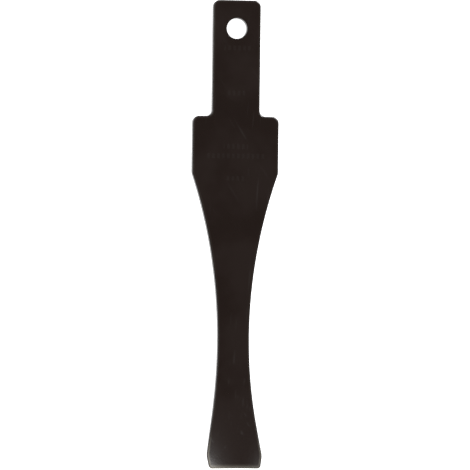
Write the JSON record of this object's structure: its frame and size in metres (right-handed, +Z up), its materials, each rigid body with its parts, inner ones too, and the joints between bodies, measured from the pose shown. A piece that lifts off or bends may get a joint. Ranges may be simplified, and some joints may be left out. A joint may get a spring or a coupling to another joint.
{
  "type": "spudger",
  "caption": "Flat one-piece pry tool: a hanging tab with a hole, a square-shouldered grip, a narrow waist and a flared, dished tip that curls up.",
  "frame": {"origin": "on the bench under the tool, at the middle of its length and width", "axes": "+Z up, out of the dished face; +Y to the hanging end, -Y to the pry tip; X across the tool"},
  "size_m": [0.0278, 0.15, 0.0101],
  "materials": {
    "black_nylon": "smooth semi-gloss moulded black nylon, faintly brown, a little glossier at the tip"
  },
  "bodies": {
    "root": {"spudger": "black_nylon"}
  },
  "joints": []
}
